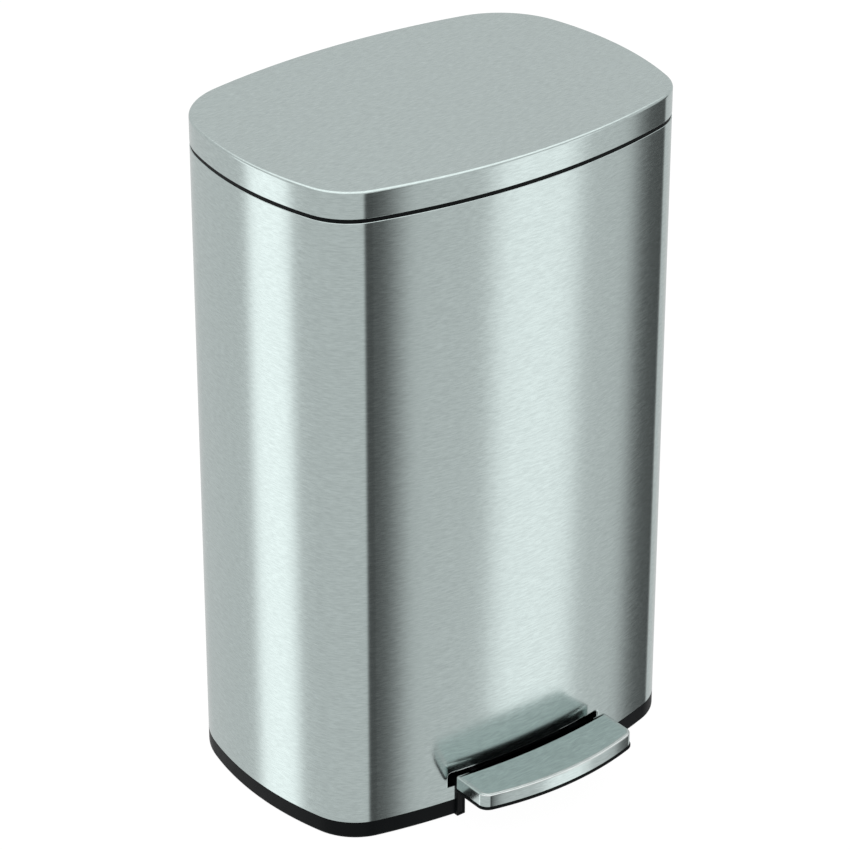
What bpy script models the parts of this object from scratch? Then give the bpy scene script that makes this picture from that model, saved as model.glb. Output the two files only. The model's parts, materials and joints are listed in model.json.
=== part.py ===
"""Step-on waste bin: a bulged rectangular steel body with a lid that the front pedal opens.

Pressing the pedal tips a lever on its axle under the bucket. The lever's rear end lifts a push rod
behind the bucket, and the rod turns a crank on the lid's hinge bracket. A small damper beside the
rod slows the closing lid. X is the width, the pedal faces -Y and Z is up, with the floor at z = 0.
"""

import math

import bmesh
import bpy
from mathutils import Matrix, Vector

# ---------------------------------------------------------------- driving dimensions, metres

# Body, seen from above: four wide arcs joined by tangent corner arcs
body_width = 0.417
body_depth = 0.294
total_height = 0.645
front_bulge = 0.0296  # the middle of the front stands this far out past its corners
rear_bulge = 0.0256
side_bulge = 0.0235
front_corner_radius = 0.0545
rear_corner_radius = 0.080
steel_wall = 0.0005

# Fits
gap = 0.0003  # between pieces that touch
sink = 0.0001  # of a joined shape into the one it joins
past = 0.010  # of a cutter beyond what it cuts
axle_clearance = 0.0003  # around an axle or pin in its bore

# Lid and the black seam under it
lid_height = 0.0247
lid_wall = 0.0006
lid_edge_radius = 0.003
seam_height = 0.0037
liner_wall = 0.0018
liner_recess = 0.0022  # from the lid's lower edge up to the liner's panel
lid_open_angle = math.radians(80)

# Rim that caps the steel body under the lid
rim_setback = 0.0006
rim_width = 0.0099
rim_skirt = 0.0140
rim_skirt_wall = 0.0021

# Base
base_clearance = 0.0008  # the rubber feet hold the base this far off the floor
band_height = 0.0172
band_edge_radius = 0.0035
base_floor = 0.0057
base_wall = 0.0022
collar_height = 0.0140  # the collar stands inside the steel body above the band
foot_radius = 0.0090
foot_depth = 0.0030
foot_inset_x = 0.075
foot_inset_y = 0.070
foot_chamfer = 0.0006

# Pedal bay: the gap in the front of the base, and the wider slot in the steel above it
bay_half_width = 0.072
bay_depth = 0.029
cheek_thickness = 0.009
cheek_proud = 0.0030
cheek_top = 0.0360
cheek_root = 0.004  # of the cheeks past the back of the bay
slot_half_width = 0.088
slot_low = 0.0330
slot_high = 0.0470
slot_corner_radius = 0.0040

# Pedal
pedal_width = 0.178
pedal_reach = 0.0585  # from the middle of the body's front to the pedal's front edge
pedal_gap = 0.0080
pedal_front_radius = 0.310
pedal_front_corner = 0.0115
pedal_rear_corner = 0.0040
pedal_low = 0.0345
pedal_top = 0.0505
pedal_lip_height = 0.0027
pedal_lip = 0.0010
tread_wall = 0.0008
tread_edge_radius = 0.0025

# Pedal lever, a folded steel channel that turns on the pedal axle
axle_y = -0.026
axle_z = 0.036
axle_radius = 0.003
lever_half_width = 0.050
lever_sheet = 0.0025
lever_front_overlap = 0.030  # under the pedal
lever_front_height = 0.0060
lever_boss_height = 0.0160
lever_boss_length = 0.0160
lever_rear_height = 0.0085
lever_rear_top = 0.0170
lever_rear_margin = 0.0018  # of the lever behind the rods that stand on it
lever_shelf_length = 0.043
pedal_screw_x = 0.65 * lever_half_width
pedal_screw_cover = 0.001  # of the moulding over the end of a pedal screw
lever_web_root = 0.010  # of the plate under the pedal past the back of the bay
lever_side_play = 0.004  # between the lever and the axle brackets
bracket_width = 0.012
bracket_depth = 0.024
bracket_rise = 0.010  # of the bracket above the axle
bracket_edge_radius = 0.002
bracket_screw_recess = 0.0028  # of the screw heads into the underside of the base
bracket_screw_below = 0.008  # of the screw ends under the axle
clip_radius = 0.006
clip_thickness = 0.0015
axle_end = 0.002  # of the axle past its clips

# Deck over the mechanism, which the bucket stands on
deck_low = 0.0600
deck_thickness = 0.0025
deck_inset = 0.0060
deck_leg = 0.014
deck_leg_x = 0.120
deck_leg_y = 0.070
deck_notch_half_width = 0.062

# Inner bucket
bucket_wall = 0.0016
bucket_floor = 0.0025
bucket_top_inset = 0.0080
bucket_bottom_inset = 0.0200
bucket_drop = 0.0186  # of the bucket's rim below the top of the steel body
bucket_lip = 0.0032
bucket_lip_height = 0.0040
mechanism_depth = 0.0234  # behind the bucket's flat rear wall

# Lid hinge at the rear
hinge_below = 0.0083  # of the hinge axis below the lid's lower edge
pin_radius = 0.0025
housing_half_width = 0.062
housing_depth = 0.0190
housing_height = 0.049
housing_below_lid = 0.0013
housing_edge_radius = 0.004
housing_wall = 0.003
housing_cheek = 0.015
housing_screw_rise = 0.013  # of the screws above the housing's lower edge
housing_screw_sunk = 0.0008  # of their heads under the housing's surface
housing_screw_bite = 0.010  # of their ends inside the body
housing_hollow_drop = 0.002  # of the housing's hollow below the notch
notch_depth = 0.0206  # of the opening in the steel body's rear edge
screw_radius = 0.0015
screw_head_radius = 0.0035
screw_head_height = 0.0015

# Hinge bracket and crank under the lid's liner
bracket_plate = 0.0024
bracket_half_length = 0.042
bracket_front = 0.0425  # of the plate's front edge ahead of the steel body's rear face
bracket_rear = 0.0085
arm_outer = 0.039
arm_thickness = 0.003
arm_eye_radius = 0.0058
arm_root = 0.018  # of an arm along the plate
arm_top_drop = 0.0015  # of an arm's top under the lid's lower edge
hinge_screw_x = 0.72 * bracket_half_length
hinge_screw_rows = (0.006, 0.021)  # behind the plate's front edge
hinge_screw_bite = 0.006  # above the liner's panel
crank_radius = 0.020
crank_pin_radius = 0.002
crank_cheek_inner = 0.0022
crank_cheek_outer = 0.0042
crank_eye_radius = 0.0045
crank_plate_half_width = 0.010
crank_plate = 0.0022
crank_plate_front = 0.004  # behind the hinge bracket's front edge
crank_pin_end = 0.001  # of the pin past its cheeks
rivet_beside_cheek = 0.0032
rivet_row = 0.010  # behind the hinge bracket's front edge
rivet_head_radius = 0.0028
rivet_head_height = 0.001

# Push rod and its fittings
rod_radius = 0.0025
rod_inside = 0.00966  # of the rod's axis ahead of the body's rear face
rod_foot_radius = 0.004
rod_foot_half_length = 0.006
rod_foot_height = 0.014
rod_seat = 0.002  # of a rod's end above the middle of its shoe's round sole
rod_end_cover = 0.001  # of the clip over the rod's upper end
lever_play = 0.0005  # between the lever's shelf and the feet that stand on it
clip_strip = 0.003
clip_block = 0.008
clip_block_height = 0.013
clip_clearance = 0.003  # of the block under the crank's eye
clip_margin = 0.0028  # of the strip round its slot
clip_rear_margin = 0.0018
clip_corner_radius = 0.002
clip_slot_play = 0.0009
guide_height = 0.008
cover_half_width = 0.013
cover_wall = 0.0015
cover_low = 0.078
cover_drop = 0.029  # of the cover's top under the crank pin
cover_behind_bucket = 0.004
cover_play = 0.0004  # between the cover and the curved rear wall
guide_from_end = 0.040

# Damper
damper_x = -0.040
damper_radius = 0.0055
damper_bore = 0.0043
damper_low = 0.160
damper_length = 0.090
damper_end = 0.003
piston_height = 0.005
damper_rod_radius = 0.0015
damper_clip_height = 0.012
damper_clip_wall = 0.003
damper_clip_lip = 0.001  # of the clip in front of the cylinder
damper_clip_mouth = 0.7  # of the cylinder's width
damper_foot_radius = 0.003
damper_foot_half_length = 0.004
damper_foot_height = 0.008

# Bumpers that the lid closes on
bumper_radius = 0.0030
bumper_y = -0.060

front_steps, corner_steps, side_steps = 8, 7, 14

# ---------------------------------------------------------------- places worked out from them

half_width, half_depth = body_width / 2, body_depth / 2
lid_low = total_height - lid_height
body_top = lid_low - seam_height
band_top = base_clearance + band_height
steel_low = band_top + gap
collar_top = band_top + collar_height
floor_top = base_clearance + base_floor
deck_top = deck_low + deck_thickness
bucket_low = deck_top + gap
bucket_top = body_top - bucket_drop
bucket_back = half_depth - mechanism_depth
hinge_z = lid_low - hinge_below
housing_top = lid_low - housing_below_lid
notch_low = body_top - notch_depth
notch_half_width = housing_half_width - housing_cheek
pedal_front = -half_depth - pedal_reach
housing_back = half_depth + housing_depth
rod_y = half_depth - rod_inside
hinge_y = rod_y + crank_radius * (1 + math.cos(lid_open_angle / 2)) / 2
crank_y = hinge_y - crank_radius * math.cos(lid_open_angle / 2)
crank_z = hinge_z - crank_radius * math.sin(lid_open_angle / 2)
cover_high = crank_z - cover_drop
lever_rear = rod_y + lever_rear_margin
liner_low = lid_low + liner_recess
inner_wall = steel_wall + gap  # inset of what fits inside the steel body

# ---------------------------------------------------------------- outlines in plan


def wide_arcs():
    """Centre and radius of the body's front, side and rear arcs, as (x, y, radius)."""
    chord = half_width - side_bulge
    side_chord = half_depth - (front_bulge + rear_bulge) / 2
    front = (chord**2 + front_bulge**2) / (2 * front_bulge)
    rear = (chord**2 + rear_bulge**2) / (2 * rear_bulge)
    side = (side_chord**2 + side_bulge**2) / (2 * side_bulge)
    return (
        (0.0, -half_depth + front, front),
        (half_width - side, 0.0, side),
        (0.0, half_depth - rear, rear),
    )


def corner_centre(first, second, radius):
    """Centre, on the +X side, of a corner arc that touches two wide arcs from inside."""
    (x1, y1, r1), (x2, y2, r2) = first, second
    reach_1, reach_2 = r1 - radius, r2 - radius
    span = math.hypot(x2 - x1, y2 - y1)
    along = (reach_1**2 - reach_2**2 + span**2) / (2 * span)
    across = math.sqrt(reach_1**2 - along**2)
    ux, uy = (x2 - x1) / span, (y2 - y1) / span
    middle = (x1 + along * ux, y1 + along * uy)
    both = [(middle[0] - s * across * uy, middle[1] + s * across * ux) for s in (-1, 1)]
    return max(both)


def arc(centre, radius, start, end, steps):
    """Points along an arc, without its last point."""
    angles = [start + (end - start) * i / steps for i in range(steps)]
    return [(centre[0] + radius * math.cos(a), centre[1] + radius * math.sin(a)) for a in angles]


def mirrored(half):
    """A closed outline from its +X half, which runs from the front middle to the rear middle."""
    return half + [(-x, y) for x, y in reversed(half[1:-1])]


def body_outline(inset=0.0):
    """The body's plan, counter-clockwise, set in by the same distance all round."""
    front, side, rear = wide_arcs()
    front_corner = corner_centre(front, side, front_corner_radius)
    rear_corner = corner_centre(rear, side, rear_corner_radius)

    def heading(centre, towards):
        return math.atan2(towards[1] - centre[1], towards[0] - centre[0])

    a1 = heading(front, front_corner)
    a2 = heading(side, front_corner)
    a3 = heading(side, rear_corner)
    a4 = heading(rear, rear_corner)
    half = arc(front, front[2] - inset, -math.pi / 2, a1, front_steps)
    half += arc(front_corner, front_corner_radius - inset, a1, a2, corner_steps)
    half += arc(side, side[2] - inset, a2, a3, side_steps)
    half += arc(rear_corner, rear_corner_radius - inset, a3, a4, corner_steps)
    half += arc(rear, rear[2] - inset, a4, math.pi / 2, front_steps)
    half.append((0.0, half_depth - inset))
    return mirrored(half)


def front_face_y(x):
    """Y of the body's front surface at a given X."""
    _, cy, radius = wide_arcs()[0]
    return cy - math.sqrt(radius**2 - x**2)


def side_face_x(y, inset=0.0):
    """X of the body's side surface at a given Y."""
    cx, _, radius = wide_arcs()[1]
    return cx + math.sqrt((radius - inset) ** 2 - y**2)


def pedal_outline(inset=0.0):
    """The pedal's plan: its rear follows the body's front, and its front is a tighter arc."""
    body = wide_arcs()[0]
    rear_radius = body[2] + pedal_gap + inset
    front_radius = pedal_front_radius - inset
    front = (0.0, pedal_front + pedal_front_radius)
    side = pedal_width / 2 - inset
    corner, heel = pedal_front_corner - inset, pedal_rear_corner - inset
    corner_x, heel_x = side - corner, side - heel
    corner_y = front[1] - math.sqrt((front_radius - corner) ** 2 - corner_x**2)
    heel_y = body[1] - math.sqrt((rear_radius + heel) ** 2 - heel_x**2)
    front_end = math.atan2(corner_y - front[1], corner_x)
    rear_end = math.atan2(heel_y - body[1], heel_x)
    half = arc(front, front_radius, -math.pi / 2, front_end, 8)
    half += arc((corner_x, corner_y), corner, front_end, 0.0, 5)
    half += arc((heel_x, heel_y), heel, 0.0, rear_end + math.pi, 3)
    half += arc(body, rear_radius, rear_end, -math.pi / 2, 8)
    half.append((0.0, body[1] - rear_radius))
    return mirrored(half)


def rounded_rectangle(low, high, radius, steps=4):
    """A rectangle with round corners, counter-clockwise."""
    quarter = math.pi / 2
    corners = (
        ((high[0] - radius, low[1] + radius), -quarter),
        ((high[0] - radius, high[1] - radius), 0.0),
        ((low[0] + radius, high[1] - radius), quarter),
        ((low[0] + radius, low[1] + radius), 2 * quarter),
    )
    points = []
    for centre, start in corners:
        points += arc(centre, radius, start, start + quarter, steps)
        end = start + quarter
        points.append((centre[0] + radius * math.cos(end), centre[1] + radius * math.sin(end)))
    return points


# ---------------------------------------------------------------- scene, carriers and finishes

for old in list(bpy.data.objects):
    bpy.data.objects.remove(old, do_unlink=True)

bin_parts = bpy.data.collections.new("step_on_waste_bin")
cutters = bpy.data.collections.new("cutters")
bpy.context.scene.collection.children.link(bin_parts)
bpy.context.scene.collection.children.link(cutters)


def carrier(name, location, parent=None):
    """An empty that carries pieces; it sits on the axis that they move about or along."""
    empty = bpy.data.objects.new(name, None)
    empty.empty_display_size = 0.03
    empty.location = location
    empty.parent = parent
    cutters.objects.link(empty)
    return empty


# The body's own centre is set back, so that the whole bin, pedal to hinge, is centred on Y = 0
bin_frame = carrier("bin_frame", (0.0, -(pedal_front + housing_back) / 2, 0.0))
lid_axis = carrier("lid_axis", (0.0, hinge_y, hinge_z), bin_frame)
pedal_axis = carrier("pedal_axis", (0.0, axle_y, axle_z), bin_frame)
rod_axis = carrier("rod_axis", (0.0, rod_y, cover_low), bin_frame)
damper_axis = carrier("damper_axis", (damper_x, rod_y, damper_low), bin_frame)

FINISHES = {  # colour, metallic, roughness
    "brushed_steel": ((0.45, 0.47, 0.46), 1.0, 0.34),
    "bright_steel": ((0.62, 0.63, 0.63), 1.0, 0.25),
    "plated_steel": ((0.52, 0.53, 0.54), 1.0, 0.35),
    "black_paint": ((0.014, 0.014, 0.015), 0.0, 0.40),
    "black_plastic": ((0.016, 0.016, 0.017), 0.0, 0.45),
    "grey_plastic": ((0.09, 0.09, 0.095), 0.0, 0.50),
    "black_rubber": ((0.012, 0.012, 0.012), 0.0, 0.80),
}


def finish_for(name, finish):
    """A material of the piece's own, in one of the shared finishes."""
    colour, metallic, roughness = FINISHES[finish]
    material = bpy.data.materials.new(name + "_finish")
    material.use_nodes = True
    shader = material.node_tree.nodes["Principled BSDF"]
    shader.inputs["Base Color"].default_value = (*colour, 1.0)
    shader.inputs["Metallic"].default_value = metallic
    shader.inputs["Roughness"].default_value = roughness
    return material


# ---------------------------------------------------------------- mesh and modifier helpers


def smooth(mesh):
    mesh.shade_smooth()
    mesh.set_sharp_from_angle(angle=math.radians(30))
    return mesh


def mesh_of(bm, name="shape"):
    mesh = bpy.data.meshes.new(name)
    bm.to_mesh(mesh)
    bm.free()
    return smooth(mesh)


def hang(obj, parent):
    """Parent to a carrier, keeping the object's own coordinates those of the bin."""
    obj.parent = parent
    if parent is not bin_frame:
        obj.matrix_parent_inverse = Matrix.Translation(-parent.location)


def part(name, mesh, finish, parent=bin_frame):
    mesh.name = name
    mesh.materials.clear()
    mesh.materials.append(finish_for(name, finish))
    obj = bpy.data.objects.new(name, mesh)
    bin_parts.objects.link(obj)
    hang(obj, parent)
    return obj


def tool(name, mesh):
    """A shape that only cuts or joins another."""
    obj = bpy.data.objects.new(name, mesh)
    obj.display_type = "WIRE"
    obj.hide_render = True
    cutters.objects.link(obj)
    hang(obj, bin_frame)
    return obj


def combine(target, shape, operation):
    count = len(target.modifiers)
    if not isinstance(shape, bpy.types.Object):
        shape = tool(f"{target.name}_{operation.lower()}_{count}", shape)
    boolean = target.modifiers.new(f"{operation.title()} {count}", "BOOLEAN")
    boolean.operation = operation
    boolean.solver = "EXACT"
    boolean.object = shape


def cut(target, *shapes):
    for shape in shapes:
        combine(target, shape, "DIFFERENCE")


def join(target, *shapes):
    for shape in shapes:
        combine(target, shape, "UNION")


def round_edges(target, width, segments=3, angle=50):
    bevel = target.modifiers.new("Round edges", "BEVEL")
    bevel.width = width
    bevel.segments = segments
    bevel.limit_method = "ANGLE"
    bevel.angle_limit = math.radians(angle)
    bevel.miter_outer = "MITER_ARC"


def thicken(target, thickness):
    """Give an open surface its wall, inwards."""
    solidify = target.modifiers.new("Wall", "SOLIDIFY")
    solidify.thickness = thickness
    solidify.offset = -1.0
    solidify.use_even_offset = True


def box(low, high):
    low, high = Vector(low), Vector(high)
    bm = bmesh.new()
    place = Matrix.LocRotScale((low + high) / 2, None, high - low)
    bmesh.ops.create_cube(bm, size=1.0, matrix=place)
    return mesh_of(bm)


def side_box(side, low, high):
    """A box given for the +X side, mirrored to the side wanted."""
    xs = sorted((side * low[0], side * high[0]))
    return box((xs[0], low[1], low[2]), (xs[1], high[1], high[2]))


def rod(start, end, radius, sides=16):
    start, end = Vector(start), Vector(end)
    along = end - start
    turn = along.to_track_quat("Z", "Y").to_matrix().to_4x4()
    bm = bmesh.new()
    bmesh.ops.create_cone(
        bm,
        cap_ends=True,
        segments=sides,
        radius1=radius,
        radius2=radius,
        depth=along.length,
        matrix=Matrix.Translation((start + end) / 2) @ turn,
    )
    return mesh_of(bm)


# How a flat outline's (u, v) lie when it is extruded along each axis
LAY = {
    "Z": Matrix.Identity(4),
    "X": Matrix(((0, 0, 1, 0), (1, 0, 0, 0), (0, 1, 0, 0), (0, 0, 0, 1))),
    "Y": Matrix(((1, 0, 0, 0), (0, 0, -1, 0), (0, 1, 0, 0), (0, 0, 0, 1))),
}


def slab(outline, low, high, along="Z"):
    """A flat outline extruded from low to high: (x, y) along Z, (y, z) along X, (x, z) along Y."""
    curve = bpy.data.curves.new("outline", "CURVE")
    curve.dimensions = "2D"
    curve.fill_mode = "BOTH"
    curve.extrude = (high - low) / 2
    spline = curve.splines.new("POLY")
    spline.points.add(len(outline) - 1)
    for point, (u, v) in zip(spline.points, outline):
        point.co = (u, v, 0.0, 1.0)
    spline.use_cyclic_u = True
    guide = bpy.data.objects.new("outline", curve)
    cutters.objects.link(guide)
    evaluated = guide.evaluated_get(bpy.context.evaluated_depsgraph_get())
    mesh = bpy.data.meshes.new_from_object(evaluated)
    bpy.data.objects.remove(guide)
    bm = bmesh.new()
    bm.from_mesh(mesh)
    bpy.data.meshes.remove(mesh)
    bmesh.ops.remove_doubles(bm, verts=bm.verts, dist=1e-6)
    bmesh.ops.dissolve_limit(bm, angle_limit=1e-3, verts=bm.verts, edges=bm.edges)
    bmesh.ops.recalc_face_normals(bm, faces=bm.faces)
    middle = (low + high) / 2 * (-1 if along == "Y" else 1)
    bm.transform(LAY[along] @ Matrix.Translation((0.0, 0.0, middle)))
    return mesh_of(bm)


def without_caps(mesh, top=True, bottom=True):
    """Open an upright slab at its ends."""
    bm = bmesh.new()
    bm.from_mesh(mesh)
    ends = [f for f in bm.faces if (top and f.normal.z > 0.9) or (bottom and f.normal.z < -0.9)]
    bmesh.ops.delete(bm, geom=ends, context="FACES")
    bm.to_mesh(mesh)
    bm.free()
    return mesh


def loft(sections):
    """A solid through outlines at rising heights, given as (outline, z)."""
    bm = bmesh.new()
    rings = [[bm.verts.new((x, y, z)) for x, y in outline] for outline, z in sections]
    for lower, upper in zip(rings, rings[1:]):
        for i, vert in enumerate(lower):
            after = (i + 1) % len(lower)
            bm.faces.new((vert, lower[after], upper[after], upper[i]))
    bm.faces.new(reversed(rings[0]))
    bm.faces.new(rings[-1])
    return mesh_of(bm)


def turned(name, profile, finish, parent=bin_frame, at=(0, 0, 0), towards=(0, 0, 1), **options):
    """A profile of (radius, height) turned about an axis that points towards a direction."""
    mesh = bpy.data.meshes.new(name)
    edges = [(i, i + 1) for i in range(len(profile) - 1)]
    if options.get("ring"):
        edges.append((len(profile) - 1, 0))
    mesh.from_pydata([(r, 0.0, z) for r, z in profile], edges, [])
    obj = part(name, mesh, finish, parent)
    obj.location = at
    obj.rotation_euler = Vector(towards).to_track_quat("Z", "Y").to_euler()
    screw = obj.modifiers.new("Turn", "SCREW")
    screw.axis = "Z"
    screw.steps = screw.render_steps = options.get("steps", 20)
    screw.use_merge_vertices = True
    screw.merge_threshold = 1e-6
    screw.use_smooth_shade = False
    return obj


def solid_profile(radius, low, high):
    return [(0.0, high), (radius, high), (radius, low), (0.0, low)]


def ring_profile(outer, inner, low, high):
    return [(inner, high), (outer, high), (outer, low), (inner, low)]


def screw_profile(length, head=screw_head_radius, height=screw_head_height):
    """A pan-head screw: its head stands above 0 and its shank runs down from it."""
    return [
        (0.0, height),
        (head * 0.7, height),
        (head, height * 0.4),
        (head, 0.0),
        (screw_radius, 0.0),
        (screw_radius, -length),
        (0.0, -length),
    ]


SIDES = (("left", -1), ("right", 1))

# ---------------------------------------------------------------- the fixed body


def build_body_shell():
    """One sheet wrapped round the bin, open at both ends, with the pedal slot and hinge notch."""
    sheet = without_caps(slab(body_outline(), steel_low, body_top))
    shell = part("body_shell", sheet, "brushed_steel")
    thicken(shell, steel_wall)
    slot = rounded_rectangle(
        (-slot_half_width, slot_low), (slot_half_width, slot_high), slot_corner_radius
    )
    bay = bay_half_width + cheek_thickness + gap
    notch_back = half_depth + housing_wall
    cut(
        shell,
        slab(slot, -half_depth - past, -half_depth / 2, along="Y"),
        box((-bay, -half_depth - past, 0.0), (bay, -half_depth / 2, (slot_low + slot_high) / 2)),
        box(
            (-notch_half_width, bucket_back, notch_low),
            (notch_half_width, notch_back, total_height),
        ),
    )
    for _, side in SIDES:
        cut(shell, housing_screw_hole(side))
    return shell


def build_base():
    """Black moulded base: a band flush with the steel, a floor, a collar and the pedal's cheeks."""
    rounding = [
        (
            body_outline(band_edge_radius * (1 - math.sin(a))),
            base_clearance + band_edge_radius * (1 - math.cos(a)),
        )
        for a in (0.0, math.pi / 4, math.pi / 2)
    ]
    base = part("base", loft(rounding + [(body_outline(), band_top)]), "black_plastic")
    join(base, slab(body_outline(inner_wall), floor_top, collar_top))
    cut(base, slab(body_outline(inner_wall + base_wall), floor_top, collar_top + past))
    bay_back = -half_depth + bay_depth
    outer = bay_half_width + cheek_thickness
    front = front_face_y(outer) - cheek_proud
    for _, side in SIDES:
        low = (bay_half_width - gap, front, base_clearance)
        join(base, side_box(side, low, (outer, bay_back + cheek_root, cheek_top)))
    cut(
        base,
        box(
            (-bay_half_width, -half_depth - past, -past),
            (bay_half_width, bay_back, cheek_top + past),
        ),
    )
    for x, y in foot_places().values():
        pocket_top = foot_depth + gap
        cut(base, rod((x, y, -past), (x, y, pocket_top), foot_radius + gap))
    for _, side in SIDES:
        x = side * bracket_screw_x()
        seat = base_clearance + bracket_screw_recess
        cut(
            base,
            rod((x, axle_y, -past), (x, axle_y, seat), screw_head_radius + gap),
            rod((x, axle_y, 0.0), (x, axle_y, floor_top + past), screw_radius + gap),
        )
    return base


def foot_places():
    """Centres of the four feet in plan."""
    return {
        f"foot_{end}_{side}": (sx * (half_width - foot_inset_x), sy * (half_depth - foot_inset_y))
        for end, sy in (("front", -1), ("rear", 1))
        for side, sx in SIDES
    }


def build_feet():
    for name, (x, y) in foot_places().items():
        profile = [
            (0.0, foot_depth),
            (foot_radius, foot_depth),
            (foot_radius, foot_chamfer),
            (foot_radius - foot_chamfer, 0.0),
            (0.0, 0.0),
        ]
        turned(name, profile, "black_rubber", at=(x, y, 0.0))


def build_top_rim():
    """Black ring between the steel body and the lid, open at the rear for the hinge."""
    rim_low, rim_high = body_top + gap, lid_low - gap
    rim = part("top_rim", slab(body_outline(rim_setback), rim_low, rim_high), "black_plastic")
    skirt_low = body_top - rim_skirt
    join(rim, slab(body_outline(inner_wall), skirt_low, (rim_low + rim_high) / 2))
    cut(
        rim,
        slab(body_outline(rim_setback + rim_width), rim_low, rim_high + past),
        slab(body_outline(inner_wall + rim_skirt_wall), skirt_low - past, rim_high + past),
        box(
            (-notch_half_width, bucket_back, skirt_low - past),
            (notch_half_width, half_depth + past, rim_high + past),
        ),
    )
    return rim


def build_deck():
    """Shelf over the mechanism; the bucket stands on it."""
    deck = part("deck", slab(body_outline(deck_inset), deck_low, deck_top), "black_plastic")
    notch_front = bucket_back - bucket_bottom_inset / 2
    for sx in (-1, 1):
        for sy in (-1, 1):
            x, y = sx * deck_leg_x, sy * deck_leg_y
            low = (x - deck_leg / 2, y - deck_leg / 2, floor_top + gap)
            join(deck, box(low, (x + deck_leg / 2, y + deck_leg / 2, deck_low + deck_thickness / 2)))
    cut(
        deck,
        box(
            (-deck_notch_half_width, notch_front, deck_low - past),
            (deck_notch_half_width, half_depth, deck_top + past),
        ),
    )
    return deck


def build_inner_bucket():
    """Lift-out plastic bucket with draft, a rolled lip and a flat rear wall."""
    outer = loft(
        [
            (body_outline(bucket_bottom_inset), bucket_low),
            (body_outline(bucket_top_inset), bucket_top),
        ]
    )
    inner = loft(
        [
            (body_outline(bucket_bottom_inset + bucket_wall), bucket_low + bucket_floor),
            (body_outline(bucket_top_inset + bucket_wall), bucket_top),
            (body_outline(bucket_top_inset + bucket_wall), bucket_top + 0.02),
        ]
    )
    bucket = part("inner_bucket", outer, "grey_plastic")
    lip = body_outline(bucket_top_inset - bucket_lip)
    join(bucket, slab(lip, bucket_top - bucket_lip_height, bucket_top))
    cut(bucket, box((-half_width, bucket_back, 0.0), (half_width, half_depth, total_height)))
    hollow = tool("bucket_hollow", inner)
    wall_back = bucket_back - bucket_wall
    cut(hollow, box((-half_width, wall_back, 0.0), (half_width, half_depth, total_height)))
    cut(bucket, hollow)
    return bucket


# ---------------------------------------------------------------- rear hinge


def housing_screw_place(side):
    """A housing screw's axis, in x and z."""
    x = side * (housing_half_width - housing_cheek / 2)
    return x, housing_top - housing_height + housing_screw_rise


def housing_screw_hole(side):
    x, z = housing_screw_place(side)
    return rod((x, bucket_back, z), (x, housing_back + past, z), screw_radius + gap)


def build_hinge_housing():
    """Black moulded housing on the rear; it holds the hinge pin in its two cheeks."""
    low = (-housing_half_width, bucket_back, housing_top - housing_height)
    block = box(low, (housing_half_width, housing_back, housing_top))
    housing = part("hinge_housing", block, "black_plastic")
    round_edges(housing, housing_edge_radius)
    body = slab(body_outline(-gap), 0.0, total_height)
    hollow_low = notch_low - housing_hollow_drop
    cut(
        housing,
        body,
        box(
            (-notch_half_width, 0.0, hollow_low),
            (notch_half_width, housing_back - housing_wall, total_height),
        ),
    )
    pin_reach = housing_half_width - housing_wall
    bore = pin_radius + axle_clearance
    cut(housing, rod((-pin_reach, hinge_y, hinge_z), (pin_reach, hinge_y, hinge_z), bore))
    seat = housing_back - screw_head_height - housing_screw_sunk
    for _, side in SIDES:
        x, z = housing_screw_place(side)
        cut(
            housing,
            housing_screw_hole(side),
            rod((x, seat, z), (x, housing_back + past, z), screw_head_radius + gap),
        )
    for name, side in SIDES:
        x, z = housing_screw_place(side)
        length = seat - (half_depth - housing_screw_bite)
        place = (x, seat + gap, z)
        turned(
            f"housing_screw_{name}",
            screw_profile(length),
            "plated_steel",
            at=place,
            towards=(0, 1, 0),
            steps=16,
        )
    half_pin = pin_reach - gap
    turned(
        "hinge_pin",
        solid_profile(pin_radius, -half_pin, half_pin),
        "bright_steel",
        at=(0, hinge_y, hinge_z),
        towards=(1, 0, 0),
    )


# ---------------------------------------------------------------- pedal and lever


def lever_slope():
    """How fast the top edge of the lever's rear arm rises with Y; it falls, so this is negative."""
    start = axle_y + lever_boss_length / 2
    top = axle_z + lever_boss_height / 2
    return (lever_rear_top - top) / (lever_rear - start)


def lever_top_z(y):
    """Height of the lever's top edge at rest, on its rear arm."""
    return lever_rear_top + lever_slope() * (y - lever_rear)


def pedal_middle_y():
    """Y of the middle of the pedal, where its screws are."""
    return -half_depth - pedal_gap - lever_front_overlap / 2


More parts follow.
